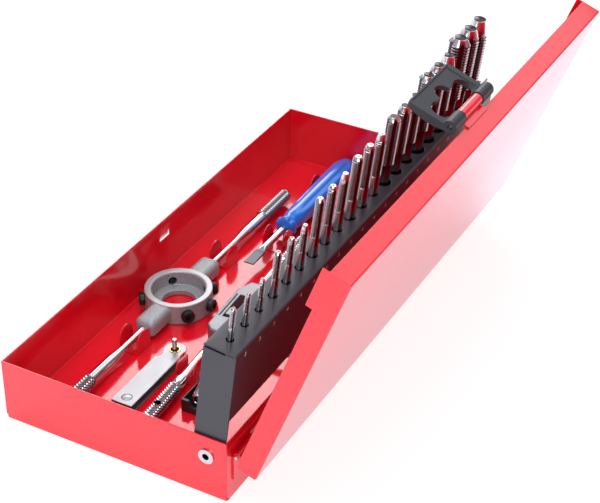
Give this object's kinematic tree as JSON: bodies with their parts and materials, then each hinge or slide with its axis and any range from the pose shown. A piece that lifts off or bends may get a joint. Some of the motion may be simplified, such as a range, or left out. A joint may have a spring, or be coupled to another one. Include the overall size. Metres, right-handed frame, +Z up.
{
  "type": "tap and die storage drawer",
  "caption": "Red folded sheet-metal tray with a hinged lid, a tip-up rack of thread-cutting taps and the clipped-in tools that go with them.",
  "frame": {"origin": "centre of the tray's underside, on the surface that it rests on", "axes": "+X along the tray's length, +Y towards the lid's hinge, +Z up"},
  "size_m": [0.3026, 0.1932, 0.1644],
  "materials": {
    "red_sheet": "glossy red baked enamel",
    "rack_sheet": "dark grey satin enamel",
    "hinge_steel": "plated",
    "rivet_steel": "plated",
    "tap_steel": "ground high-speed steel",
    "latch_plastic": "fine moulded grain",
    "latch_rod": "bright",
    "cast_stock": "grey hammered paint",
    "stock_rod": "satin chrome",
    "black_screw": "black oxide",
    "blue_plastic": "glossy blue",
    "blade_steel": "bright",
    "gauge_shell": "satin plated",
    "eyelet_brass": "dull brass",
    "leaf_steel": "dark spring steel",
    "wrench_steel": "satin",
    "chuck_chrome": "bright chrome",
    "holder_plastic": "black moulded"
  },
  "bodies": {
    "tray": {"base_tray": "red_sheet", "hinge_leaf_base": "red_sheet", "hinge_pin": "hinge_steel", "rack_rivets": "rivet_steel", "die_stock_clips": "red_sheet", "screwdriver_shank_clip": "red_sheet", "screwdriver_handle_clip": "red_sheet", "wrench_clip": "red_sheet", "gauge_post": "rivet_steel", "chuck_holder": "holder_plastic"},
    "lid": {"lid": "red_sheet", "hinge_leaf_lid": "red_sheet", "latch_plate": "red_sheet", "latch_pin": "latch_rod"},
    "latch": {"latch_flap": "latch_plastic", "latch_bar": "latch_rod"},
    "rack": {"tap_rack": "rack_sheet", "rack_shelf": "rack_sheet"},
    "die_stock": {"die_stock_body": "cast_stock", "die_stock_screws": "black_screw", "die_stock_handle_near": "stock_rod", "die_stock_handle_far": "stock_rod"},
    "screwdriver": {"screwdriver_handle": "blue_plastic", "screwdriver_blade": "blade_steel"},
    "thread_gauge": {"gauge_case": "gauge_shell", "gauge_eyelets": "eyelet_brass", "gauge_leaves_far": "leaf_steel", "gauge_leaves_near": "leaf_steel"},
    "tap_wrench": {"tap_wrench_body": "wrench_steel", "tap_wrench_rod": "wrench_steel"},
    "wrench_jaw": {"tap_wrench_jaw": "wrench_steel"},
    "wrench_handle": {"tap_wrench_handle": "wrench_steel"},
    "chuck": {"tap_chuck": "chuck_chrome"},
    "cross_bar": {"chuck_bar": "chuck_chrome"},
    "taps_m3": {"taps_m3": "tap_steel"},
    "taps_m4": {"taps_m4": "tap_steel"},
    "taps_m5": {"taps_m5": "tap_steel"},
    "taps_m6": {"taps_m6": "tap_steel"},
    "taps_m8": {"taps_m8": "tap_steel"},
    "taps_m10": {"taps_m10": "tap_steel"},
    "taps_m12": {"taps_m12": "tap_steel"}
  },
  "joints": [
    {"name": "lid_hinge", "type": "hinge", "parent": "tray", "child": "lid", "pos_m": [0, 0.0677, 0.026], "axis": [1, 0, 0], "range_deg": [0, 110]},
    {"name": "rack_pivot", "type": "hinge", "parent": "tray", "child": "rack", "pos_m": [0, 0.05385, 0.0246], "axis": [1, 0, 0], "range_deg": [0, 96.7]},
    {"name": "latch_hinge", "type": "hinge", "parent": "lid", "child": "latch", "pos_m": [0, 0.1132, 0.15598], "axis": [1, 0, 0], "range_deg": [-100, 0]},
    {"name": "die_stock_lift", "type": "slide", "parent": "tray", "child": "die_stock", "axis": [0, 0, -1], "range_m": [-0.04, 0]},
    {"name": "screwdriver_lift", "type": "slide", "parent": "tray", "child": "screwdriver", "axis": [0, 0, -1], "range_m": [-0.04, 0]},
    {"name": "thread_gauge_lift", "type": "slide", "parent": "tray", "child": "thread_gauge", "axis": [0, 0, -1], "range_m": [-0.04, 0]},
    {"name": "tap_wrench_lift", "type": "slide", "parent": "tray", "child": "tap_wrench", "axis": [0, 0, -1], "range_m": [-0.04, 0]},
    {"name": "wrench_jaw_slide", "type": "slide", "parent": "tap_wrench", "child": "wrench_jaw", "axis": [-0.9984, -0.0558, 0], "range_m": [0, 0.0106]},
    {"name": "wrench_handle_turn", "type": "hinge", "parent": "tap_wrench", "child": "wrench_handle", "pos_m": [0.022, -0.0034, 0.0059], "axis": [-0.9984, -0.0558, 0], "range_deg": [0, 2520]},
    {"name": "chuck_lift", "type": "slide", "parent": "tray", "child": "chuck", "axis": [0, 0, -1], "range_m": [-0.035, 0]},
    {"name": "cross_bar_slide", "type": "slide", "parent": "chuck", "child": "cross_bar", "axis": [0, 1, 0], "range_m": [-0.003, 0.004]},
    {"name": "taps_m3_lift", "type": "slide", "parent": "rack", "child": "taps_m3", "axis": [0, -0.1167, -0.9932], "range_m": [-0.03, 0]},
    {"name": "taps_m4_lift", "type": "slide", "parent": "rack", "child": "taps_m4", "axis": [0, -0.1167, -0.9932], "range_m": [-0.03, 0]},
    {"name": "taps_m5_lift", "type": "slide", "parent": "rack", "child": "taps_m5", "axis": [0, -0.1167, -0.9932], "range_m": [-0.03, 0]},
    {"name": "taps_m6_lift", "type": "slide", "parent": "rack", "child": "taps_m6", "axis": [0, -0.1167, -0.9932], "range_m": [-0.03, 0]},
    {"name": "taps_m8_lift", "type": "slide", "parent": "rack", "child": "taps_m8", "axis": [0, -0.1167, -0.9932], "range_m": [-0.03, 0]},
    {"name": "taps_m10_lift", "type": "slide", "parent": "rack", "child": "taps_m10", "axis": [0, -0.1167, -0.9932], "range_m": [-0.03, 0]},
    {"name": "taps_m12_lift", "type": "slide", "parent": "rack", "child": "taps_m12", "axis": [0, -0.1167, -0.9932], "range_m": [-0.03, 0]}
  ],
  "couplings": [
    {"joint": "rack_pivot", "follows": "lid_hinge", "ratio": 0.879},
    {"joint": "wrench_jaw_slide", "follows": "wrench_handle_turn", "m_per_rad": 0.00023873}
  ]
}
